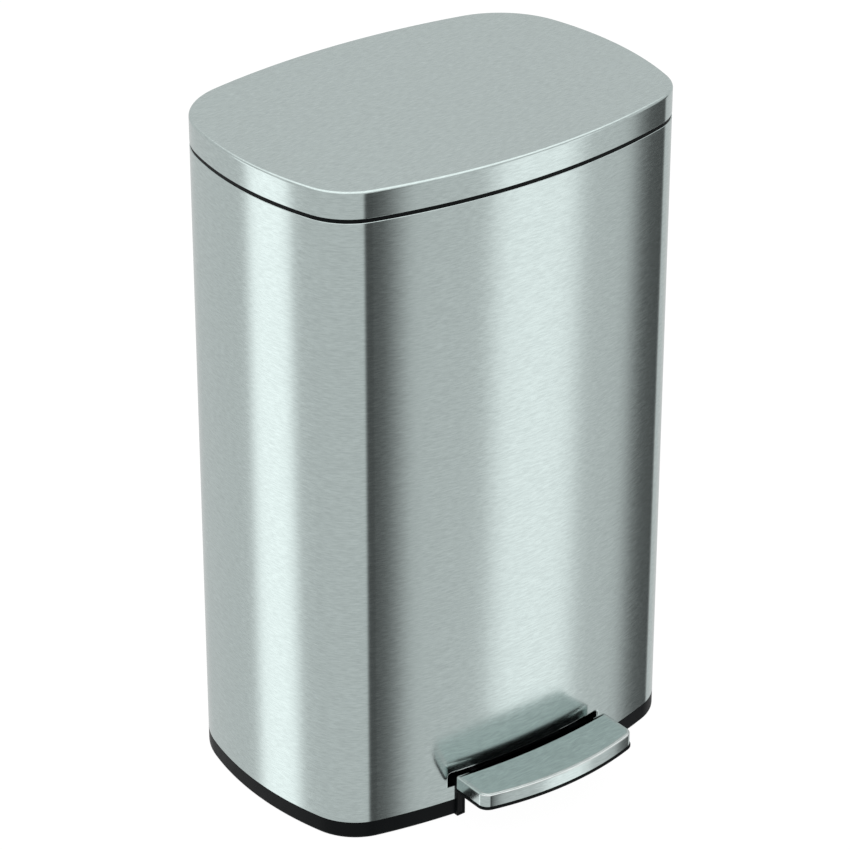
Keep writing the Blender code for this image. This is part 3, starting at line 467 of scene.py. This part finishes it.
def scaled(colour, factor):
    return tuple(c * factor for c in colour)


def brushed_steel(name, colour, roughness, anisotropy, grain, across, contrast=0.10):
    """Brushed stainless sheet: fine scratches run along the grain and smear reflections across it."""
    material, shader = new_material(name, colour, 1.0, roughness)
    tree = material.node_tree
    scratches = noise(tree, 1.0, detail=4.0, stretch=grain)
    tint(
        tree,
        scratches,
        shader.inputs["Base Color"],
        scaled(colour, 1 - contrast),
        scaled(colour, 1 + contrast),
    )
    vary(tree, scratches, shader.inputs["Roughness"], roughness * 0.90, roughness * 1.10)
    bump(tree, scratches, shader, 0.05, 0.00002)
    shader.inputs["Anisotropic"].default_value = anisotropy
    direction = tree.nodes.new("ShaderNodeCombineXYZ")
    for axis, value in zip("XYZ", across):
        direction.inputs[axis].default_value = value
    to_world = tree.nodes.new("ShaderNodeVectorTransform")
    to_world.vector_type = "VECTOR"
    to_world.convert_from = "OBJECT"
    to_world.convert_to = "WORLD"
    tree.links.new(direction.outputs["Vector"], to_world.inputs["Vector"])
    tree.links.new(to_world.outputs["Vector"], shader.inputs["Tangent"])
    return material


def machined_metal(name, colour, roughness):
    """Drawn or plated steel of the small fittings, a little cloudy."""
    material, shader = new_material(name, colour, 1.0, roughness)
    tree = material.node_tree
    clouds = noise(tree, 240.0)
    tint(tree, clouds, shader.inputs["Base Color"], scaled(colour, 0.90), scaled(colour, 1.06))
    vary(tree, clouds, shader.inputs["Roughness"], roughness * 0.8, roughness * 1.25)
    bump(tree, noise(tree, 1800.0), shader, 0.08, 0.0001)
    return material


def moulded_plastic(name, colour, roughness, texture_scale=1500.0, depth=0.16):
    """Moulded plastic with a fine spark-eroded texture and faint flow clouds."""
    material, shader = new_material(name, colour, 0.0, roughness)
    shader.inputs["Specular IOR Level"].default_value = 0.07
    tree = material.node_tree
    flow = noise(tree, 22.0, detail=2.0)
    tint(tree, flow, shader.inputs["Base Color"], scaled(colour, 0.85), scaled(colour, 1.15))
    vary(tree, noise(tree, 90.0), shader.inputs["Roughness"], roughness * 0.90, roughness * 1.12)
    bump(tree, noise(tree, texture_scale, detail=2.0), shader, depth, 0.0002)
    return material


def enamel(name, colour, roughness):
    """Stoved paint with a slight orange peel."""
    material, shader = new_material(name, colour, 0.0, roughness)
    tree = material.node_tree
    peel = noise(tree, 500.0, detail=2.0)
    tint(tree, peel, shader.inputs["Base Color"], scaled(colour, 0.9), scaled(colour, 1.1))
    bump(tree, peel, shader, 0.10, 0.0004)
    shader.inputs["Coat Weight"].default_value = 0.3
    shader.inputs["Coat Roughness"].default_value = 0.2
    return material


steel_colour = (0.562, 0.646, 0.634)
# Lighter steel for the pedal's upward-facing edge faces: partly a polished edge, partly a painted
# highlight
edge_highlight_colour = (0.66, 0.70, 0.69)
UP = (0.0, 0.0, 1.0)
BACK = (0.0, 1.0, 0.0)

materials = {
    "wrap": brushed_steel(
        "brushed_steel_wrap", steel_colour, 0.15, 0.75, grain=(130, 130, 900), across=UP
    ),
    "top": brushed_steel(
        "brushed_steel_top", steel_colour, 0.19, 0.72, grain=(130, 900, 130), across=BACK
    ),
    # Pedal edge steel: its lighter colour on upward faces is partly a painted highlight
    "edge": brushed_steel(
        "polished_steel_edge_and_highlight", edge_highlight_colour, 0.14, 0.40, grain=(90, 900, 900), across=UP
    ),
    "bright_steel": machined_metal("bright_steel", (0.62, 0.63, 0.63), 0.22),
    "plated_steel": machined_metal("plated_steel", (0.52, 0.53, 0.54), 0.33),
    # Black paint of the pedal lever; its black also keeps the lever dark inside the pedal slot,
    # standing in for the slot's shade: partly painted shade
    "black_paint": enamel("black_paint", (0.014, 0.014, 0.015), 0.40),
    "black_plastic": moulded_plastic("black_plastic", (0.0030, 0.0038, 0.0042), 0.40),
    "grey_plastic": moulded_plastic("grey_plastic", (0.09, 0.09, 0.095), 0.50, 1100.0),
    "black_rubber": moulded_plastic("black_rubber", (0.005, 0.005, 0.005), 0.80, 900.0, 0.30),
}


def finish(piece, *names):
    """The piece's materials, by name, in slot order."""
    piece.data.materials.clear()
    for name in names:
        piece.data.materials.append(materials[name])


# ---------------------------------------------------------------- steel body and its slot


def build_steel_body():
    """Rolled sheet with hemmed edges, the pedal slot and bay in front and the notch behind."""
    path = rounded_path(
        [
            (sheet / 2, steel_low, 0.0),
            (0.0, steel_low, 0.0004),
            (0.0, steel_high, body_hem),
            (sheet, steel_high, 0.0),
            (sheet, steel_low, 0.0),
        ]
    )
    piece = add_piece("steel_body", swept(path, closed=True), "can", ["body_shell"])
    front = centre_y - half_depth
    roll = slot_roll_radius
    bay = bay_half_width + cheek_thickness
    outline = [(x + nx * roll, z + nz * roll) for x, z, nx, nz in slot_outline()]
    slot = upright_cutter(outline, front - overshoot, front + bay_depth)
    bay_cut = cutter((-bay, front - overshoot, 0.0), (bay, front + bay_depth, slot_high - roll))
    notch = cutter(
        (-notch_half_width, centre_y + half_depth / 2, steel_high - notch_depth),
        (notch_half_width, centre_y + half_depth + overshoot, steel_high + overshoot),
    )
    cut_away(piece, slot, bay_cut, notch)
    wall_normals(piece)
    finish(piece, "wrap")


def slot_outline():
    """The slot's upper edge as (x, z, outward x, outward z), from its left end to its right."""
    radius = slot_corner_radius
    points = [(-slot_half_width, slot_low, -1.0, 0.0)]
    for side in (-1, 1):
        centre = (side * (slot_half_width - radius), slot_high - radius)
        start = math.pi if side < 0 else math.pi / 2
        for k in range(quarter_steps + 1):
            angle = start - k * math.pi / 2 / quarter_steps
            c, s = math.cos(angle), math.sin(angle)
            points.append((centre[0] + radius * c, centre[1] + radius * s, c, s))
    points.append((slot_half_width, slot_low, 1.0, 0.0))
    return points


def build_slot_edge():
    """The steel rolled inwards along the slot's ends and top."""
    bm = bmesh.new()
    outline = slot_outline()
    middle = len(outline) // 2
    left, right = outline[middle - 1], outline[middle]
    span = [
        (left[0] + (right[0] - left[0]) * k / slot_span_steps, left[1], 0.0, 1.0)
        for k in range(1, slot_span_steps)
    ]
    outline = outline[:middle] + span + outline[middle:]
    sections = [(slot_roll_radius * slot_tuck, slot_tuck_depth)]
    for k in range(quarter_steps + 1):
        angle = k * math.pi / 2 / quarter_steps
        away = slot_roll_radius * (1 - math.sin(angle))
        deep = slot_roll_radius * (1 - math.cos(angle))
        sections.append((away, deep))
    sections.append((0.0, slot_roll_radius + slot_return))
    rings = []
    for away, deep in sections:
        ring = []
        for x, z, nx, nz in outline:
            px, pz = x + nx * away, z + nz * away
            ring.append(bm.verts.new((px, front_face_y(px) + deep, pz)))
        rings.append(ring)
    for outer, inner in zip(rings, rings[1:]):
        for i in range(len(outline) - 1):
            bm.faces.new((outer[i], inner[i], inner[i + 1], outer[i + 1]))
    bmesh.ops.recalc_face_normals(bm, faces=bm.faces)
    piece = add_piece("slot_edge", bm, "can")
    finish(piece, "wrap")


# ---------------------------------------------------------------- base


def build_base():
    """Moulded tray: a band under the steel, a floor and a collar inside, open at the pedal's bay."""
    low, high = base_box_low.z, base_box_high.z
    floor = low + base_floor
    inner = collar_inset + collar_wall
    collar_top = steel_low + collar_height
    path = rounded_path(
        [
            (base_floor_inset, low, 0.0),
            (0.0, low, band_edge_radius),
            (0.0, steel_low - 0.0003, 0.0004),
            (collar_inset, steel_low - 0.0003, 0.0),
            (collar_inset, collar_top, 0.0),
            (inner, collar_top, 0.0),
            (inner, floor, 0.0006),
            (base_floor_inset, floor, 0.0),
        ]
    )
    piece = add_piece("base_tray", swept(path), "can", ["base"])
    front = centre_y - half_depth
    bay_cut = cutter(
        (-bay_half_width, front - 2 * overshoot, low - overshoot),
        (bay_half_width, front + bay_depth, high + overshoot),
    )
    cut_away(piece, bay_cut)
    soften(piece)
    finish(piece, "black_plastic")
    for name, side in (("left", -1), ("right", 1)):
        build_cheek(name, side, front_face_y(bay_half_width + cheek_thickness) - cheek_proud)


def build_cheek(name, side, front):
    """Upright post beside the pedal's bay, with a shallow panel in its face."""
    xs = sorted((side * bay_half_width, side * (bay_half_width + cheek_thickness)))
    back = centre_y - half_depth + bay_depth
    post = cutter((xs[0], front, base_box_low.z), (xs[1], back, cheek_top))
    post.name = f"base_cheek_{name}"
    inset, depth = 0.0020, 0.0008
    panel = cutter(
        (xs[0] + inset, front - overshoot, base_box_low.z + inset),
        (xs[1] - inset, front + depth, cheek_top - inset),
    )
    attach(post, "can")
    cut_away(post, panel)
    soften(post, width=0.0007)
    finish(post, "black_plastic")


# ---------------------------------------------------------------- ring, bucket, lid


def rear_notch():
    """Cuts the rear opening for the lid's hinge."""
    return cutter(
        (-notch_half_width, centre_y + half_depth / 2, steel_high - ring_notch_depth),
        (notch_half_width, centre_y + half_depth + overshoot, lid_low + overshoot),
    )


def build_ring():
    """Black ring between steel body and lid."""
    low, high = steel_high + 0.0003, rim_box_high.z
    inner = ring_inset + ring_width
    path = rounded_path(
        [
            (inner, high - 0.001, 0.0),
            (inner, low, 0.0004),
            (0.0032, low, 0.0002),
            (0.0032, rim_box_low.z, 0.0004),
            (0.0012, rim_box_low.z, 0.0004),
            (0.0012, low, 0.0002),
            (ring_inset, low, 0.0004),
            (ring_inset, high, 0.0006),
            (inner, high, 0.0004),
            (inner, high - 0.001, 0.0),
        ],
        steps=3,
    )[:-1]
    piece = add_piece("lid_seat_ring", swept(path, closed=True), "can", ["top_rim"])
    cut_away(piece, rear_notch())
    soften(piece)
    finish(piece, "black_plastic")


def build_bucket():
    """Lift-out bucket: drafted sides, a turned-over lip, a round-bottomed foot and a flat rear."""
    low, high = bucket_box_low.z, bucket_box_high.z
    rear = bucket_box_high.y
    lip = bucket_top_inset - bucket_lip
    outer = rounded_path(
        [
            (bucket_bottom_inset + 0.02, low, 0.0),
            (bucket_bottom_inset, low, 0.006),
            (bucket_top_inset, high - bucket_lip_height, 0.0005),
            (lip, high - bucket_lip_height, 0.0004),
            (lip, high, 0.0012),
            (bucket_top_inset, high, 0.0),
        ]
    )
    floor = low + bucket_floor
    inner = rounded_path(
        [
            (bucket_top_inset + 0.0002, high, 0.0),
            (bucket_top_inset + bucket_wall, high, 0.0006),
            (bucket_bottom_inset + bucket_wall, floor, 0.0045),
            (bucket_bottom_inset + 0.02, floor, 0.0),
        ]
    )
    heights = [rear] * len(outer) + [rear - bucket_wall] * len(inner)
    backs = iter(heights)

    def plan(inset):
        back = next(backs)
        return [(x, min(y, back)) for x, y in body_plan(inset)]

    piece = add_piece(
        "waste_bucket", swept(outer + inner, plan), "can", ["inner_bucket"]
    )
    soften(piece)
    finish(piece, "grey_plastic")


def build_lid_cover():
    """Pressed lid: a flat top, a rolled edge and a hemmed skirt whose grain runs round it."""
    inner = sheet
    path = rounded_path(
        [
            (inner + 0.006, lid_high - sheet, 0.0),
            (inner, lid_high - sheet, lid_edge_radius - sheet),
            (inner, lid_low, lid_hem),
            (0.0, lid_low, lid_hem),
            (0.0, lid_high, lid_edge_radius),
            (0.006, lid_high, 0.0),
        ],
        steps=10,
    )
    piece = add_piece("lid_cover", swept(path), "lid", ["lid_shell"])
    soften(piece)
    finish(piece, "wrap", "top")
    for polygon in piece.data.polygons:
        if polygon.normal.z > 0.7:
            polygon.material_index = 1


def build_liner():
    """Black liner inside the lid, with a sunk panel in its underside."""
    low, high = liner_box_low.z, liner_box_high.z
    path = rounded_path(
        [
            (liner_border + 0.01, low + liner_recess, 0.0),
            (liner_border, low + liner_recess, 0.0010),
            (liner_border - 0.002, low, 0.0010),
            (sheet + 0.0001, low, 0.0008),
            (sheet + 0.0001, high, 0.0),
            (sheet + 0.002, high, 0.0),
            (sheet + 0.002, low + 0.004, 0.0),
            (liner_border + 0.01, low + 0.004, 0.0),
        ],
        steps=4,
    )
    piece = add_piece("lid_lining", swept(path), "lid", ["lid_liner"])
    soften(piece)
    finish(piece, "black_plastic")


# ---------------------------------------------------------------- pedal


def build_pedal():
    """Steel tread over a black moulding; its upward-facing edge faces take a lighter, less brushed
    steel, partly a polished edge and partly a painted highlight.
    """
    low, high = tread_box_low.z, tread_box_high.z
    ledge = high - tread_step
    path = rounded_path(
        [
            (pedal_lip + tread_sheet + 0.004, high - tread_sheet, 0.0),
            (pedal_lip + tread_sheet, high - tread_sheet, 0.0002),
            (pedal_lip + tread_sheet, low, 0.0003),
            (pedal_lip, low, 0.0003),
            (pedal_lip, ledge, tread_edge_radius),
            (pedal_lip + tread_ledge, ledge, 0.0002),
            (pedal_lip + tread_ledge + 0.0004, high, 0.0002),
            (pedal_lip + 0.004, high, 0.0),
        ],
        steps=8,
    )
    tread = add_piece(
        "pedal_plate", swept(path, pedal_plan), "pedal", ["pedal_tread"]
    )
    soften(tread)
    finish(tread, "wrap", "top", "edge")
    # Flat top faces take the top grain; edge faces tilted upwards take the lighter edge steel, a
    # painted highlight along the edge
    for polygon in tread.data.polygons:
        if polygon.normal.z > 0.95 and len(polygon.vertices) > 4:
            polygon.material_index = 1
        elif polygon.normal.z > 0.2:
            polygon.material_index = 2

    base, top = moulding_box_low.z, low - 0.0003
    core = pedal_lip + tread_sheet + 0.0003
    path = rounded_path(
        [
            (0.006, base, 0.0),
            (0.0, base, 0.0009),
            (0.0, top, 0.0005),
            (core, top, 0.0),
            (core, moulding_box_high.z, 0.0006),
            (core + 0.004, moulding_box_high.z, 0.0),
        ],
        steps=4,
    )
    moulding = add_piece(
        "pedal_moulding", swept(path, pedal_plan), "pedal", ["pedal_underside"]
    )
    soften(moulding)
    finish(moulding, "black_plastic")


# ---------------------------------------------------------------- kept CAD nodes


def dress_kept_nodes():
    """Fine edges and finishes on the fittings whose CAD shape stays."""
    slots = {s["node"]: s["material_slot"] for s in frame["record"]["subparts"]}
    replaced = {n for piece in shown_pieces() for n in piece.get("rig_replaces", [])}
    for name, node in frame["nodes"].items():
        if name in replaced:
            continue
        finish(node, slots[name])
        soften(node, width=0.00025, segments=2)


# ---------------------------------------------------------------- studio


floor_half_size = 12.0
floor_glow = 0.98


def build_floor():
    """Plain pale floor: it glows evenly, takes a faint shadow and stays out of reflections."""
    bm = bmesh.new()
    bmesh.ops.create_grid(bm, x_segments=1, y_segments=1, size=floor_half_size)
    floor = plain_object("floor", bm)
    material, shader = new_material("pale_floor", (0.05, 0.05, 0.05), 0.0, 1.0)
    shader.inputs["Specular IOR Level"].default_value = 0.0
    shader.inputs["Emission Color"].default_value = (1.0, 1.0, 1.0, 1.0)
    shader.inputs["Emission Strength"].default_value = floor_glow
    floor.data.materials.append(material)
    floor.visible_glossy = False


MIX_FIRST, MIX_SECOND, MIX_RESULT = 6, 7, 2  # the Mix node's colour sockets


def mixed(tree, factor, first, second):
    """Colour mix: first at 0, second at 1."""
    node = tree.nodes.new("ShaderNodeMix")
    node.data_type = "RGBA"
    tree.links.new(factor, node.inputs["Factor"])
    for index, value in ((MIX_FIRST, first), (MIX_SECOND, second)):
        socket = node.inputs[index]
        if isinstance(value, tuple):
            socket.default_value = (*value, 1.0)
        else:
            tree.links.new(value, socket)
    return node.outputs[MIX_RESULT]


# Studio: an even pale surround with two soft boxes, two dark flags and a soft light overhead
surround_light = 0.68
overhead_light = 1.4
overhead_from, overhead_full = 0.55, 0.75  # sine of the elevation where it fades in
area_top_from, area_top_full = 0.0, 0.2  # sine of the elevation where boxes and flags end
area_softness = 8  # degrees over which a box or a flag fades into the surround
# (angle in degrees from +X towards +Y, half angle in degrees, brightness)
SOFT_AREAS = [
    (140, 5, 1.4),
    (310, 5, 1.2),
    (270, 6, 0.10),
    (345, 5, 0.10),
]


def faded(tree, source, start, full):
    """0 at start and 1 at full, with soft ends."""
    fade = tree.nodes.new("ShaderNodeMapRange")
    fade.interpolation_type = "SMOOTHSTEP"
    fade.inputs["From Min"].default_value = start
    fade.inputs["From Max"].default_value = full
    tree.links.new(source, fade.inputs["Value"])
    return fade.outputs["Result"]


def towards(tree, level_direction, degrees):
    """Cosine of the angle between a level direction and one given in degrees from +X."""
    dot = tree.nodes.new("ShaderNodeVectorMath")
    dot.operation = "DOT_PRODUCT"
    angle = math.radians(degrees)
    dot.inputs[1].default_value = (math.cos(angle), math.sin(angle), 0.0)
    tree.links.new(level_direction, dot.inputs[0])
    return dot.outputs["Value"]


def grey(brightness):
    return (brightness, brightness, brightness)


def build_studio():
    """Plain soft light: white to the eye and to matt surfaces, a softly lit studio to steel."""
    world = bpy.data.worlds.new("studio")
    bpy.context.scene.world = world
    world.use_nodes = True
    tree = world.node_tree
    tree.nodes.clear()
    place = tree.nodes.new("ShaderNodeTexCoord")
    parts = tree.nodes.new("ShaderNodeSeparateXYZ")
    tree.links.new(place.outputs["Generated"], parts.inputs["Vector"])
    flat = tree.nodes.new("ShaderNodeCombineXYZ")
    for axis in "XY":
        tree.links.new(parts.outputs[axis], flat.inputs[axis])
    level = tree.nodes.new("ShaderNodeVectorMath")
    level.operation = "NORMALIZE"
    tree.links.new(flat.outputs["Vector"], level.inputs[0])
    sides = grey(surround_light)
    for degrees, half_angle, brightness in SOFT_AREAS:
        start = math.cos(math.radians(half_angle + area_softness))
        full = math.cos(math.radians(half_angle))
        fade = faded(tree, towards(tree, level.outputs["Vector"], degrees), start, full)
        sides = mixed(tree, fade, sides, grey(brightness))
    height = parts.outputs["Z"]
    above = faded(tree, height, area_top_from, area_top_full)
    room = mixed(tree, above, sides, grey(surround_light))
    overhead = faded(tree, height, overhead_from, overhead_full)
    room = mixed(tree, overhead, room, grey(overhead_light))
    rays = tree.nodes.new("ShaderNodeLightPath")
    seen = tree.nodes.new("ShaderNodeMath")
    seen.operation = "MAXIMUM"
    tree.links.new(rays.outputs["Is Camera Ray"], seen.inputs[0])
    tree.links.new(rays.outputs["Is Diffuse Ray"], seen.inputs[1])
    light = mixed(tree, seen.outputs["Value"], room, grey(1.0))
    background = tree.nodes.new("ShaderNodeBackground")
    out = tree.nodes.new("ShaderNodeOutputWorld")
    tree.links.new(light, background.inputs["Color"])
    tree.links.new(background.outputs["Background"], out.inputs["Surface"])
    bpy.context.scene.view_settings.view_transform = "Standard"


# Camera: where it looks from (degrees), how far off, and what it looks at
camera_azimuth = -37.73
camera_elevation = 28.34
camera_distance = 3.3315
camera_lens = 154.28
target = Vector((-0.0043, centre_y + 0.0033, 0.3198))


def build_camera():
    azimuth, elevation = math.radians(camera_azimuth), math.radians(camera_elevation)
    back = Vector(
        (
            math.sin(azimuth) * math.cos(elevation),
            -math.cos(azimuth) * math.cos(elevation),
            math.sin(elevation),
        )
    )
    camera = bpy.data.objects.new("camera", bpy.data.cameras.new("camera"))
    camera.data.lens = camera_lens
    camera.data.sensor_width = 36.0
    camera.data.clip_end = 50.0
    camera.location = target + back * camera_distance
    camera.rotation_euler = back.to_track_quat("Z", "Y").to_euler()
    bpy.context.scene.collection.objects.link(camera)
    bpy.context.scene.camera = camera


build_steel_body()
build_slot_edge()
build_base()
build_ring()
build_bucket()
build_lid_cover()
build_liner()
build_pedal()
dress_kept_nodes()
build_floor()
build_studio()
build_camera()
